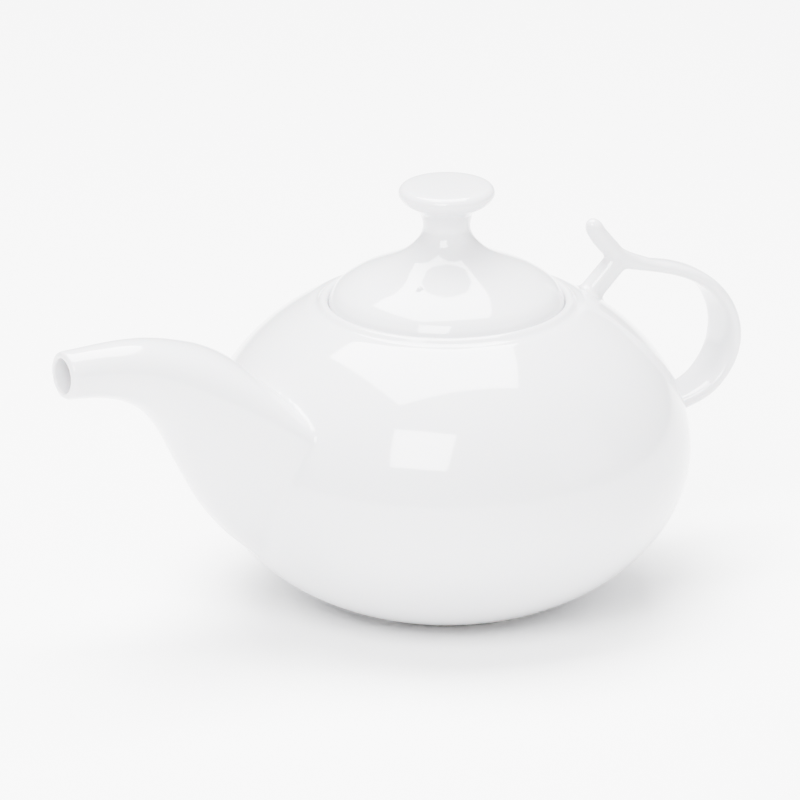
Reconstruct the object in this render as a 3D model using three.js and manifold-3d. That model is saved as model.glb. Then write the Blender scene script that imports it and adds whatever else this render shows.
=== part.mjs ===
// Porcelain teapot: a round pot with a wide-rooted spout, an open loop handle
// on a round post, and a loose domed lid with a mushroom knob.
// Millimetres, +Z up. The spout points along -X and the handle along +X.
// The origin is in the plane of the foot, midway between the spout's tip and
// the back of the handle. The shapes are drawn about the pot's axis, and the
// whole is then moved by AXIS_X.
import * as THREE from 'three';
import { mergeVertices } from 'three/addons/utils/BufferGeometryUtils.js';
import Module from 'manifold-3d';

// ---------------------------------------------------------------- dimensions
const BODY_R = 85.6; // largest outer radius of the pot
const BODY_Z = 54.0; // height of that radius above the foot
const BODY_LOW = 59.5; // height of the lower half-ellipse
const BODY_UP = 63.7; // height of the upper half-ellipse
const WALL = 4.0; // wall of the pot
const FOOT_R = 36.8; // outer radius of the foot ring
const FOOT_IN = 32.0; // inner radius of the foot ring
const FOOT_H = 2.4; // height of the foot ring
const NECK_R = 56; // the wall of the pot ends here, under the rim
const RIM_R = 43.2; // middle of the rounded rim
const RIM_T = 1.7; // radius of the rounded rim
const RIM_Z = 107.6; // height of the middle of the rim
const SEAT_Z = 105.2; // ledge that the lid rests on
const SEAT_IN = 36.6; // the mouth: inner radius of that ledge
const LID_R = 41.2; // outer radius of the lid
const COLLAR_OUT = 35.6; // collar under the lid
const COLLAR_IN = 32.4;
const COLLAR_H = 9.0;
const VENT_R = 1.0; // steam hole through the lid
const VENT_AT = 25.6; // its distance from the axis
const VENT_TURN = -141.7; // its direction, degrees from +X
const POST_R = 4.25; // round post that carries the handle
const GAP = 0.3; // clay joint between two pieces
const HOLE_R = 3.0; // strainer holes behind the spout
const SEG = 48; // facets round the axis
const AXIS_X = 19.408; // the pot's axis, from the middle of the whole length

const PORCELAIN = { color: 0xf3f2ee, roughness: 0.08, metalness: 0 };
const BISCUIT = { color: 0xe6e0d4, roughness: 0.7, metalness: 0 };

const wasm = await Module();
wasm.setup();

// ------------------------------------------------------------------- helpers
function solid(geometry) {
  const g = geometry.clone();
  g.deleteAttribute('normal');
  g.deleteAttribute('uv');
  const m = mergeVertices(g, 1e-4);
  const pos = m.attributes.position;
  const idx = m.index.array;
  const a = new THREE.Vector3();
  const b = new THREE.Vector3();
  const c = new THREE.Vector3();
  const tri = [];
  let volume = 0;
  for (let i = 0; i < idx.length; i += 3) {
    const [p, q, r] = [idx[i], idx[i + 1], idx[i + 2]];
    if (p === q || q === r || r === p) continue;
    tri.push(p, q, r);
    a.fromBufferAttribute(pos, p);
    b.fromBufferAttribute(pos, q);
    c.fromBufferAttribute(pos, r);
    volume += a.dot(b.cross(c));
  }
  if (volume < 0) for (let i = 0; i < tri.length; i += 3) [tri[i], tri[i + 1]] = [tri[i + 1], tri[i]];
  return new wasm.Manifold(
    new wasm.Mesh({
      numProp: 3,
      vertProperties: new Float32Array(pos.array),
      triVerts: new Uint32Array(tri),
    })
  );
}

// A closed or axis-to-axis outline of [radius, height] turned round +Z.
function turned(outline, segments = SEG) {
  const g = new THREE.LatheGeometry(outline.map(([r, z]) => new THREE.Vector2(r, z)), segments);
  g.rotateX(Math.PI / 2);
  return solid(g);
}

// A tube whose section changes: place(t, u, v) gives the point at t from 0 to 1
// along it, for a point (u, v) of the unit disc.
function lofted(round, along, place) {
  const g = new THREE.CylinderGeometry(1, 1, 1, round, along);
  const pos = g.attributes.position;
  for (let i = 0; i < pos.count; i++) {
    const p = place(pos.getY(i) + 0.5, pos.getX(i), pos.getZ(i));
    pos.setXYZ(i, p[0], p[1], p[2]);
  }
  return solid(g);
}

function rod(from, to, radius, round = 16) {
  const a = new THREE.Vector3(...from);
  const b = new THREE.Vector3(...to);
  const g = new THREE.CylinderGeometry(radius, radius, a.distanceTo(b), round);
  g.applyQuaternion(
    new THREE.Quaternion().setFromUnitVectors(new THREE.Vector3(0, 1, 0), b.clone().sub(a).normalize())
  );
  g.translate((a.x + b.x) / 2, (a.y + b.y) / 2, (a.z + b.z) / 2);
  return solid(g);
}

// Smooth curve through rows of numbers, one row per station.
function stations(rows) {
  return (t) => {
    const s = Math.min(Math.max(t, 0), 1) * (rows.length - 1);
    const i = Math.min(Math.floor(s), rows.length - 2);
    const f = s - i;
    const at = (k) => rows[Math.min(Math.max(k, 0), rows.length - 1)];
    return rows[0].map((_, k) => {
      const [p0, p1, p2, p3] = [at(i - 1)[k], at(i)[k], at(i + 1)[k], at(i + 2)[k]];
      return (
        0.5 *
        (2 * p1 + (p2 - p0) * f + (2 * p0 - 5 * p1 + 4 * p2 - p3) * f * f + (3 * p1 - p0 - 3 * p2 + p3) * f * f * f)
      );
    });
  };
}

function part(name, manifold, look) {
  const mesh = manifold.getMesh();
  const g = new THREE.BufferGeometry();
  g.setAttribute('position', new THREE.BufferAttribute(new Float32Array(mesh.vertProperties), 3));
  g.setIndex(new THREE.BufferAttribute(new Uint32Array(mesh.triVerts), 1));
  g.computeVertexNormals();
  const m = new THREE.Mesh(g, new THREE.MeshStandardMaterial(look));
  m.name = name;
  return m;
}

// ----------------------------------------------------------------- the pot
// Outline of the pot between two angles, moved outwards by off.
function byAngle(off, aFrom, aTo, steps) {
  const out = [];
  for (let i = 0; i <= steps; i++) {
    const a = ((aFrom + ((aTo - aFrom) * i) / steps) * Math.PI) / 180;
    const h = (a < 0 ? BODY_LOW : BODY_UP) + off;
    out.push([(BODY_R + off) * Math.cos(a), BODY_Z + h * Math.sin(a)]);
  }
  return out;
}
const deg = 180 / Math.PI;
const lowEdge = -Math.acos((FOOT_R + 0.6) / BODY_R) * deg;
const neckEdge = Math.acos(NECK_R / BODY_R) * deg;
const inLow = -Math.acos(FOOT_IN / (BODY_R - WALL)) * deg;
const inUp = Math.acos((NECK_R - 3.2) / (BODY_R - WALL)) * deg;
const outer = byAngle(0, lowEdge, neckEdge, 16);
const inner = byAngle(-WALL, inUp, inLow, 14);
const floorIn = inner[inner.length - 1][1];
let pot = turned([
  [0, FOOT_H + GAP],
  [FOOT_R + 0.2, FOOT_H + GAP],
  ...outer.filter(([, z]) => z > FOOT_H + GAP + 0.2),
  ...inner,
  [0, floorIn],
]);

// A full solid a little larger than the pot, to trim what joins it.
const clear = turned([
  [0, BODY_Z - (BODY_LOW + GAP)],
  ...byAngle(GAP, -89, 89, 30),
  [0, BODY_Z + BODY_UP + GAP],
]);

// Strainer: the wall behind the spout is pierced.
for (const [y, z] of [
  [0, 78], [-10, 74], [10, 74], [0, 66], [-12, 62], [12, 62], [0, 54], [-9, 50], [9, 50],
]) {
  pot = pot.subtract(rod([-60, y, z], [-96, y, z], HOLE_R, 12));
}

const foot = turned([
  [FOOT_IN, 0],
  [FOOT_R - 1.0, 0],
  [FOOT_R, 0.9],
  [FOOT_R, FOOT_H],
  [FOOT_IN, FOOT_H],
  [FOOT_IN, 0],
]);

// Rim: a rounded bead outside, and a ledge inside that the lid sits on.
const neckZ = outer[outer.length - 1][1];
const rimOutline = [[SEAT_IN, neckZ + GAP], [NECK_R - 0.6, neckZ + GAP], [52, 104.6], [48.5, 106.4]];
for (let i = 0; i <= 7; i++) {
  const a = ((-25 + (205 * i) / 7) * Math.PI) / 180;
  rimOutline.push([RIM_R + RIM_T * Math.cos(a), RIM_Z + RIM_T * Math.sin(a)]);
}
rimOutline.push([RIM_R - RIM_T, SEAT_Z], [SEAT_IN, SEAT_Z], [SEAT_IN, neckZ + GAP]);
const rim = turned(rimOutline);

// Spout: sections in planes across it, each with its top, widest height, keel
// and half-width.
const SPOUT = [
  // x, top, widest, keel, half-width
  [58, 80, 70, 14, 36],
  [66, 84, 74, 20, 35],
  [74, 90, 78, 25, 32.5],
  [82, 98, 82.5, 31.5, 29],
  [90, 104.2, 87, 39, 25],
  [98, 108.4, 91.5, 49, 21.5],
  [106, 111.2, 96, 63, 18.2],
  [114, 113.4, 100, 78, 15.4],
  [122, 114.9, 103.2, 88, 13],
  [130, 115.6, 105.4, 93.4, 11.2],
  [138, 115.8, 106.6, 96.2, 9.8],
  [146, 115.7, 107.0, 97.6, 8.8],
  [154.4, 115.6, 107.0, 98.4, 8.4],
];
const spoutAt = stations(SPOUT);
function spoutLoft(wall, beyond) {
  return lofted(28, 26, (t, u, v) => {
    const [x, top, mid, keel, half] = spoutAt(t);
    const w = wall * (1 - 0.3 * t);
    const far = x + (t > 0.999 ? beyond : 0);
    return [-far, u * (half - w), v > 0 ? mid + v * (top - w - mid) : mid + v * (mid - keel - w)];
  });
}
const spout = spoutLoft(0, 0).subtract(spoutLoft(3.2, 4)).subtract(clear);

// ---------------------------------------------------------------- the handle
// Middle line of the strap, its half-width and its half-thickness.
const STRAP = [
  // x, z, half-width, half-thickness
  [69.5, 110.6, 3.4, 2.3],
  [76, 108.6, 3.6, 2.2],
  [84, 106.6, 4.4, 2.2],
  [92, 104.2, 5.6, 2.3],
  [99.5, 100.8, 7.2, 2.4],
  [106, 95.6, 8.6, 2.5],
  [110.6, 88.6, 9.6, 2.6],
  [112.8, 80.5, 10, 2.7],
  [112.0, 72.4, 10, 2.7],
  [108.4, 65.4, 9.8, 2.6],
  [102.6, 59.8, 9.5, 2.6],
  [95, 56.6, 9.2, 2.7],
  [86, 55.0, 9.2, 3.0],
  [79, 54.4, 9.2, 3.2],
];
const strapAt = stations(STRAP);
const strap = lofted(16, 34, (t, u, v) => {
  const [x, z, half, thick] = strapAt(t);
  const a = strapAt(Math.max(0, t - 0.01));
  const b = strapAt(Math.min(1, t + 0.01));
  const dx = b[0] - a[0];
  const dz = b[1] - a[1];
  const l = Math.hypot(dx, dz);
  return [x - (dz / l) * v * thick, u * half, z + (dx / l) * v * thick];
}).subtract(clear);

const postFoot = [55.2, 0, 97.9];
const postHead = [68.2, 0, 110.2];
const post = rod(postFoot, postHead, POST_R, 20)
  .subtract(clear)
  .subtract(
    lofted(16, 34, (t, u, v) => {
      const [x, z, half, thick] = strapAt(t);
      const a = strapAt(Math.max(0, t - 0.01));
      const b = strapAt(Math.min(1, t + 0.01));
      const dx = b[0] - a[0];
      const dz = b[1] - a[1];
      const l = Math.hypot(dx, dz);
      const g = GAP + 0.05;
      const cap = t < 0.001 ? -g : 0;
      return [x + cap - (dz / l) * v * (thick + g), u * (half + g), z + (dx / l) * v * (thick + g)];
    })
  );

// Thumb rest: a round finger that leans back over the lid.
const REST = [
  [67.3, 115.0, 3.4],
  [64.4, 118.0, 3.45],
  [61.4, 121.8, 3.4],
  [59.2, 125.6, 3.1],
  [58.2, 128.0, 1.6],
];
const restAt = stations(REST);
const rest = lofted(16, 12, (t, u, v) => {
  const [x, z, r] = restAt(t);
  const a = restAt(Math.max(0, t - 0.02));
  const b = restAt(Math.min(1, t + 0.02));
  const dx = b[0] - a[0];
  const dz = b[1] - a[1];
  const l = Math.hypot(dx, dz);
  return [x - (dz / l) * v * r, u * r, z + (dx / l) * v * r];
}).subtract(rod(postFoot, [postHead[0] + 0.25, 0, postHead[2] + 0.25], POST_R + GAP, 20));

// ------------------------------------------------------------------- the lid
const lidTop = [
  [LID_R, 107.6],
  [LID_R - 0.5, 109.6],
  [39.0, 112.6],
  [36.0, 115.0],
  [32.0, 117.4],
  [28.0, 119.3],
  [24.0, 121.1],
  [20.0, 123.0],
  [16.0, 125.4],
  [13.0, 127.8],
  [11.4, 129.6],
];
const lid = turned([
  [0, 120.4],
  [14.0, 119.4],
  [24.0, 116.2],
  [32.0, 112.2],
  [36.0, 109.4],
  [36.0, SEAT_Z + GAP],
  [LID_R - 0.5, SEAT_Z + GAP],
  ...lidTop,
  [0, 129.6],
]).subtract(
  rod(
    [VENT_AT * Math.cos(VENT_TURN / deg), VENT_AT * Math.sin(VENT_TURN / deg), 105],
    [VENT_AT * Math.cos(VENT_TURN / deg), VENT_AT * Math.sin(VENT_TURN / deg), 130],
    VENT_R,
    12
  )
);

// Collar that keeps the lid from sliding off when the pot is tipped.
const collar = turned([
  [COLLAR_IN, SEAT_Z - COLLAR_H],
  [COLLAR_OUT, SEAT_Z - COLLAR_H],
  [COLLAR_OUT, 109.0],
  [COLLAR_IN, 111.2],
  [COLLAR_IN, SEAT_Z - COLLAR_H],
]);

const knob = turned([
  [0, 129.6 + GAP],
  [11.0, 129.6 + GAP],
  [9.4, 131.9],
  [8.5, 134.0],
  [8.3, 135.8],
  [8.6, 138.2],
  [9.5, 140.8],
  [12.0, 142.9],
  [15.2, 145.0],
  [16.6, 146.8],
  [16.9, 148.2],
  [16.2, 149.6],
  [14.4, 150.5],
  [9.0, 150.9],
  [0, 151.1],
], 40);

// ------------------------------------------------------------------ assembly
const teapot = new THREE.Group();
teapot.name = 'teapot';
teapot.position.x = AXIS_X;
teapot.add(
  part('body_shell', pot, PORCELAIN),
  part('foot_ring', foot, BISCUIT),
  part('rim_ring', rim, PORCELAIN),
  part('spout', spout, PORCELAIN),
  part('handle_post', post, PORCELAIN),
  part('handle_strap', strap, PORCELAIN),
  part('thumb_rest', rest, PORCELAIN)
);
const lidGroup = new THREE.Group();
lidGroup.name = 'lid';
lidGroup.add(
  part('lid_dome', lid, PORCELAIN),
  part('lid_collar', collar, PORCELAIN),
  part('lid_knob', knob, PORCELAIN)
);
teapot.add(lidGroup);

export default teapot;
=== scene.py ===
import math

import bmesh
import bpy
from mathutils import Matrix, Vector


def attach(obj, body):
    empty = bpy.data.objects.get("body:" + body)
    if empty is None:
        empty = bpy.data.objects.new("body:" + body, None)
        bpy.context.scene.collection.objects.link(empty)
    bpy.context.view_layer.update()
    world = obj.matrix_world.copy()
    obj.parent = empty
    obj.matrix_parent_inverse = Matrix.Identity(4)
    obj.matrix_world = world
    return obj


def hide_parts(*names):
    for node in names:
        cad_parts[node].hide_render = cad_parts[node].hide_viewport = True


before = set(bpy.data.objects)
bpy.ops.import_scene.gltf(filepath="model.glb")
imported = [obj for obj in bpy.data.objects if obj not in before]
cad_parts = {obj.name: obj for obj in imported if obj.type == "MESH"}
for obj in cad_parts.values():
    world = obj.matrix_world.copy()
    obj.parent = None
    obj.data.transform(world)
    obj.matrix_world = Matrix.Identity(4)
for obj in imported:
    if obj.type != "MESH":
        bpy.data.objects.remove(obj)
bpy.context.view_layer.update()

MM = 0.001
AXIS_X = 0.019408  # the pot's axis, from the middle of the whole length

# ------------------------------------------------------------------ outlines
BODY_R, BODY_Z, BODY_LOW, BODY_UP, WALL = 85.6, 54.0, 59.5, 63.7, 4.0
RIM_R, RIM_T, RIM_Z, SEAT_Z, SEAT_IN = 43.2, 1.7, 107.6, 105.2, 36.6
FOOT_R, FOOT_IN, FOOT_H = 36.8, 32.0, 2.4

SPOUT = [
    (58, 80, 70, 14, 36), (66, 84, 74, 20, 35), (74, 90, 78, 25, 32.5), (82, 98, 82.5, 31.5, 29),
    (90, 104.2, 87, 39, 25), (98, 108.4, 91.5, 49, 21.5), (106, 111.2, 96, 63, 18.2),
    (114, 113.4, 100, 78, 15.4), (122, 114.9, 103.2, 88, 13), (130, 115.6, 105.4, 93.4, 11.2),
    (138, 115.8, 106.6, 96.2, 9.8), (146, 115.7, 107.0, 97.6, 8.8), (154.4, 115.6, 107.0, 98.4, 8.4),
]
STRAP = [
    (66.5, 111.2, 3.2, 2.3), (69.5, 110.6, 3.4, 2.3), (76, 108.6, 3.6, 2.2), (84, 106.6, 4.4, 2.2),
    (92, 104.2, 5.6, 2.3), (99.5, 100.8, 7.2, 2.4), (106, 95.6, 8.6, 2.5), (110.6, 88.6, 9.6, 2.6),
    (112.8, 80.5, 10, 2.7), (112.0, 72.4, 10, 2.7), (108.4, 65.4, 9.8, 2.6), (102.6, 59.8, 9.5, 2.6),
    (95, 56.6, 9.2, 2.7), (86, 55.0, 9.2, 3.0), (79, 54.4, 9.2, 3.2),
]
POST = [(55.2, 97.9, 4.25), (60, 102.5, 4.25), (65, 107.2, 4.25), (68.4, 110.4, 4.2)]
BRIDGE = [
    (60.6, 123.0, 3.1, 2.9), (63.6, 118.8, 3.3, 2.9), (66.8, 115.2, 3.4, 2.8), (70.6, 112.4, 3.4, 2.6),
    (75.5, 109.9, 3.5, 2.4), (81, 107.7, 4.0, 2.2),
]
REST = [
    (69.5, 110.8, 3.0), (67.3, 114.6, 3.4), (64.4, 118.0, 3.45), (61.4, 121.8, 3.4), (59.2, 125.6, 3.1), (58.2, 128.0, 1.4),
]


def smooth_rows(rows, t):
    s = min(max(t, 0.0), 1.0) * (len(rows) - 1)
    i = min(int(s), len(rows) - 2)
    f = s - i
    p = [rows[min(max(k, 0), len(rows) - 1)] for k in (i - 1, i, i + 1, i + 2)]
    return [
        0.5 * (2 * b + (c - a) * f + (2 * a - 5 * b + 4 * c - d) * f * f + (3 * b - a - 3 * c + d) * f ** 3)
        for a, b, c, d in zip(*p)
    ]


def new_object(name, bm):
    bmesh.ops.recalc_face_normals(bm, faces=bm.faces)
    mesh = bpy.data.meshes.new(name)
    bm.to_mesh(mesh)
    bm.free()
    for p in mesh.polygons:
        p.use_smooth = True
    ob = bpy.data.objects.new(name, mesh)
    bpy.context.scene.collection.objects.link(ob)
    return ob


def revolve(name, outline, segments=192, closed=False):
    """Turns (radius, height) round Z. Points on the axis become one vertex."""
    bm = bmesh.new()
    rings = []
    for r, z in outline:
        if r < 1e-6:
            rings.append([bm.verts.new((0, 0, z * MM))])
        else:
            rings.append([
                bm.verts.new((r * MM * math.cos(2 * math.pi * k / segments), r * MM * math.sin(2 * math.pi * k / segments), z * MM))
                for k in range(segments)
            ])
    pairs = list(zip(rings, rings[1:])) + ([(rings[-1], rings[0])] if closed else [])
    for a, b in pairs:
        for k in range(segments):
            m = (k + 1) % segments
            if len(a) == 1 and len(b) == 1:
                continue
            if len(a) == 1:
                bm.faces.new((a[0], b[k], b[m]))
            elif len(b) == 1:
                bm.faces.new((a[k], b[0], a[m]))
            else:
                bm.faces.new((a[k], b[k], b[m], a[m]))
    return new_object(name, bm)


def loft(name, place, along, round_):
    bm = bmesh.new()
    rings = [
        [
            bm.verts.new([c * MM for c in place(i / along, math.cos(2 * math.pi * k / round_), math.sin(2 * math.pi * k / round_))])
            for k in range(round_)
        ]
        for i in range(along + 1)
    ]
    for a, b in zip(rings, rings[1:]):
        for k in range(round_):
            m = (k + 1) % round_
            bm.faces.new((a[k], b[k], b[m], a[m]))
    for ring, t in ((rings[0], 0.0), (rings[-1], 1.0)):
        mid = bm.verts.new([c * MM for c in place(t, 0, 0)])
        for k in range(round_):
            bm.faces.new((ring[k], ring[(k + 1) % round_], mid))
    return new_object(name, bm)


def spout_place(wall, beyond):
    def place(t, u, v):
        x, top, mid, keel, half = smooth_rows(SPOUT, t)
        w = wall * (1 - 0.3 * t)
        x += beyond if t > 0.999 else 0
        return (-x, u * (half - w), mid + v * ((top - w - mid) if v > 0 else (mid - keel - w)))
    return place


def strip_place(rows, flat):
    def place(t, u, v):
        row = smooth_rows(rows, t)
        a, b = smooth_rows(rows, max(0, t - 0.01)), smooth_rows(rows, min(1, t + 0.01))
        dx, dz = b[0] - a[0], b[1] - a[1]
        length = math.hypot(dx, dz) or 1
        half, thick = (row[2], row[3]) if flat else (row[2], row[2])
        if flat:  # a flat strap with rounded edges
            u, v = math.copysign(abs(u) ** 0.7, u), math.copysign(abs(v) ** 0.7, v)
        return (row[0] - dz / length * v * thick, u * half, row[1] + dx / length * v * thick)
    return place


def arc(off, a0, a1, steps):
    out = []
    for i in range(steps + 1):
        a = math.radians(a0 + (a1 - a0) * i / steps)
        h = (BODY_LOW if a < 0 else BODY_UP) + off
        out.append(((BODY_R + off) * math.cos(a), BODY_Z + h * math.sin(a)))
    return out


def use(ob, kind, **values):
    mod = ob.modifiers.new(kind.lower(), kind)
    for key, value in values.items():
        setattr(mod, key, value)
    return mod


def applied(ob):
    """Bakes the modifiers into the mesh."""
    graph = bpy.context.evaluated_depsgraph_get()
    graph.update()
    mesh = bpy.data.meshes.new_from_object(ob.evaluated_get(graph))
    ob.modifiers.clear()
    old = ob.data
    ob.data = mesh
    bpy.data.meshes.remove(old)
    for p in ob.data.polygons:
        p.use_smooth = True
    return ob


def join(obs, name):
    bm = bmesh.new()
    for o in obs:
        bm.from_mesh(o.data)
        bpy.data.objects.remove(o)
    mesh = bpy.data.meshes.new(name)
    bm.to_mesh(mesh)
    bm.free()
    ob = bpy.data.objects.new(name, mesh)
    bpy.context.scene.collection.objects.link(ob)
    return ob


# -------------------------------------------------- the fired, glazed pot
deg = math.degrees
low = -deg(math.acos((FOOT_R + 0.6) / BODY_R))
neck = deg(math.acos(48.0 / BODY_R))
rim = [
    (RIM_R + RIM_T * math.cos(math.radians(a)), RIM_Z + RIM_T * math.sin(math.radians(a)))
    for a in [-20 + 200 * i / 14 for i in range(15)]
]
outside = revolve(
    "outside",
    [(0, FOOT_H + 0.3), (FOOT_R - 0.4, FOOT_H + 0.3)] + [p for p in arc(0, low, neck, 90) if p[1] > FOOT_H + 0.5]
    + rim + [(RIM_R - RIM_T, SEAT_Z), (0, SEAT_Z)],
    240,
)
pieces = [
    outside,
    loft("spout_out", spout_place(0, 0), 90, 96),
    loft("strap_out", strip_place(STRAP, True), 120, 48),
    loft("bridge_out", strip_place(BRIDGE, True), 60, 48),
    loft("post_out", strip_place(POST, False), 30, 48),
    loft("rest_out", strip_place(REST, False), 50, 48),
]
pot = join(pieces, "pot_glazed")
use(pot, "REMESH", mode="VOXEL", voxel_size=0.0009, adaptivity=0.0)
applied(pot)
use(pot, "SMOOTH", factor=0.5, iterations=10)
applied(pot)

low_in = -deg(math.acos(FOOT_IN / (BODY_R - WALL)))
cavity = revolve(
    "cavity",
    [(0, arc(-WALL, low_in, 0, 1)[0][1])] + arc(-WALL, low_in, deg(math.acos(52.8 / (BODY_R - WALL))), 70)
    + [(SEAT_IN, 102.5), (SEAT_IN, 112), (0, 112)],
    192,
)
bore = loft("bore", spout_place(3.2, 4), 60, 64)
for cutter in (cavity, bore):
    use(pot, "BOOLEAN", operation="DIFFERENCE", solver="EXACT", object=cutter)
    applied(pot)
    bpy.data.objects.remove(cutter)

foot = revolve(
    "foot_fired",
    [(FOOT_IN, 0.25), (FOOT_IN + 0.3, 0), (FOOT_R - 1.2, 0), (FOOT_R - 0.5, 0.25), (FOOT_R, 0.9), (FOOT_R, FOOT_H), (FOOT_IN, FOOT_H)],
    192, closed=True,
)

# ------------------------------------------------------------------- the lid
LID = [
    (0, 120.4), (14.0, 119.4), (24.0, 116.2), (32.0, 111.6), (32.4, 96.6), (32.9, 96.2), (35.1, 96.2), (35.6, 96.8),
    (35.8, 105.3), (36.2, 105.5), (40.5, 105.5), (41.1, 106.0), (41.2, 107.6), (40.9, 109.0), (40.2, 110.6),
    (38.6, 112.9), (36.0, 115.0), (32.0, 117.4), (28.0, 119.3), (24.0, 121.1), (20.0, 123.0), (16.0, 125.3),
    (13.0, 127.7), (10.8, 130.0), (9.4, 132.0), (8.5, 134.2), (8.3, 136.0), (8.6, 138.2), (9.6, 140.8), (12.0, 142.9),
    (15.2, 145.0), (16.6, 146.8), (16.9, 148.2), (16.2, 149.6), (14.4, 150.5), (9.0, 150.9), (0, 151.1),
]
fine = []
for i in range(len(LID) - 1):
    steps = 1 if math.dist(LID[i], LID[i + 1]) < 0.8 else 5
    for k in range(steps):
        fine.append(tuple(smooth_rows(LID, (i + k / steps) / (len(LID) - 1))))
fine = [(0, 120.4)] + [p for p in fine if p[0] > 0.05] + [(0, 151.1)]
lid = revolve("lid_glazed", fine, 240)
vent = math.radians(-141.7)
drill = revolve("drill", [(0, 100), (1.0, 100), (1.0, 135), (0, 135)], 32)
drill.data.transform(Matrix.Translation((25.6 * MM * math.cos(vent), 25.6 * MM * math.sin(vent), 0)))
use(lid, "BOOLEAN", operation="DIFFERENCE", solver="EXACT", object=drill)
applied(lid)
bpy.data.objects.remove(drill)


for ob in (pot, foot, lid):
    ob.data.transform(Matrix.Translation((AXIS_X, 0, 0)))


# ----------------------------------------------------------------- materials
def ceramic(name, base, deep, rough, coat, bump, sss):
    mat = bpy.data.materials.new(name)
    mat.use_nodes = True
    nodes, links = mat.node_tree.nodes, mat.node_tree.links
    bsdf = nodes["Principled BSDF"]
    where = nodes.new("ShaderNodeTexCoord")
    cloud = nodes.new("ShaderNodeTexNoise")
    cloud.inputs["Scale"].default_value = 9
    cloud.inputs["Detail"].default_value = 4
    ramp = nodes.new("ShaderNodeValToRGB")
    ramp.color_ramp.elements[0].color = (*deep, 1)
    ramp.color_ramp.elements[1].color = (*base, 1)
    ramp.color_ramp.elements[0].position = 0.3
    ramp.color_ramp.elements[1].position = 0.7
    links.new(where.outputs["Object"], cloud.inputs["Vector"])
    links.new(cloud.outputs["Fac"], ramp.inputs["Fac"])
    links.new(ramp.outputs["Color"], bsdf.inputs["Base Color"])
    grain = nodes.new("ShaderNodeTexNoise")
    grain.inputs["Scale"].default_value = 60
    grain.inputs["Detail"].default_value = 3
    links.new(where.outputs["Object"], grain.inputs["Vector"])
    span = nodes.new("ShaderNodeMapRange")
    span.inputs["To Min"].default_value = rough[0]
    span.inputs["To Max"].default_value = rough[1]
    links.new(grain.outputs["Fac"], span.inputs["Value"])
    links.new(span.outputs["Result"], bsdf.inputs["Roughness"])
    height = nodes.new("ShaderNodeBump")
    height.inputs["Strength"].default_value = bump
    height.inputs["Distance"].default_value = 0.0002
    links.new(grain.outputs["Fac"], height.inputs["Height"])
    links.new(height.outputs["Normal"], bsdf.inputs["Normal"])
    bsdf.inputs["IOR"].default_value = 1.5
    bsdf.inputs["Coat Weight"].default_value = coat
    bsdf.inputs["Coat Roughness"].default_value = 0.03
    bsdf.inputs["Subsurface Weight"].default_value = sss
    bsdf.inputs["Subsurface Scale"].default_value = 0.003
    return mat


glaze = ceramic("glaze", (0.66, 0.66, 0.678), (0.635, 0.635, 0.662), (0.06, 0.12), 0.4, 0.05, 0.1)
biscuit = ceramic("biscuit", (0.62, 0.60, 0.57), (0.5, 0.48, 0.45), (0.6, 0.8), 0.0, 0.6, 0.0)

pot.data.materials.clear()
pot.data.materials.append(glaze)
lid.data.materials.clear()
lid.data.materials.append(glaze)
foot.data.materials.append(biscuit)

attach(pot, "pot")
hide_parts("body_shell", "rim_ring", "spout", "handle_post", "handle_strap", "thumb_rest")
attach(foot, "pot")
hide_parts("foot_ring")
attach(lid, "lid")
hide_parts("lid_dome", "lid_collar", "lid_knob")

# --------------------------------------------------------------------- stage
bm = bmesh.new()
bmesh.ops.create_grid(bm, x_segments=1, y_segments=1, size=6)
floor = new_object("floor", bm)
floor.location.z = -0.0005
paper = bpy.data.materials.new("paper")
paper.use_nodes = True
paper.node_tree.nodes["Principled BSDF"].inputs["Base Color"].default_value = (0.97, 0.97, 0.97, 1)
paper.node_tree.nodes["Principled BSDF"].inputs["Roughness"].default_value = 0.9
floor.data.materials.append(paper)

world = bpy.data.worlds.new("studio")
bpy.context.scene.world = world
world.use_nodes = True
world.node_tree.nodes["Background"].inputs["Color"].default_value = (1, 1, 1, 1)
world.node_tree.nodes["Background"].inputs["Strength"].default_value = 1.3

AZ, EL = math.radians(-30), math.radians(19.34)
back = Vector((math.sin(AZ) * math.cos(EL), -math.cos(AZ) * math.cos(EL), math.sin(EL)))
right = Vector((math.cos(AZ), math.sin(AZ), 0))


def soft(name, where, size, power):
    data = bpy.data.lights.new(name, "AREA")
    data.shape = "SQUARE"
    data.size = size
    data.energy = power
    ob = bpy.data.objects.new(name, data)
    where = Vector(where) + Vector((AXIS_X, 0, 0))
    ob.location = where
    ob.rotation_euler = (Vector((AXIS_X, 0, 0.06)) - where).to_track_quat("-Z", "Y").to_euler()
    bpy.context.scene.collection.objects.link(ob)


up = Vector((0, 0, 1))
flat = Vector((back.x, back.y, 0)).normalized()
soft("key", -right * 0.3 + flat * 1.2 + up * 1.1, 0.75, 75)
soft("top", -right * 0.1 - flat * 0.3 + up * 1.5, 1.3, 190)
soft("fill", right * 1.3 + flat * 0.5 + up * 0.6, 0.8, 6)

camera = bpy.data.cameras.new("camera")
camera.sensor_width = 36
camera.lens = 36 * (12000 / 0.35) / 800
camera.clip_end = 50
eye = bpy.data.objects.new("camera", camera)
aim = Vector((AXIS_X, 0, 0.07107)) + right * (-0.0163)
eye.location = aim + back * 12
eye.rotation_euler = back.to_track_quat("Z", "Y").to_euler()
bpy.context.scene.collection.objects.link(eye)
bpy.context.scene.camera = eye
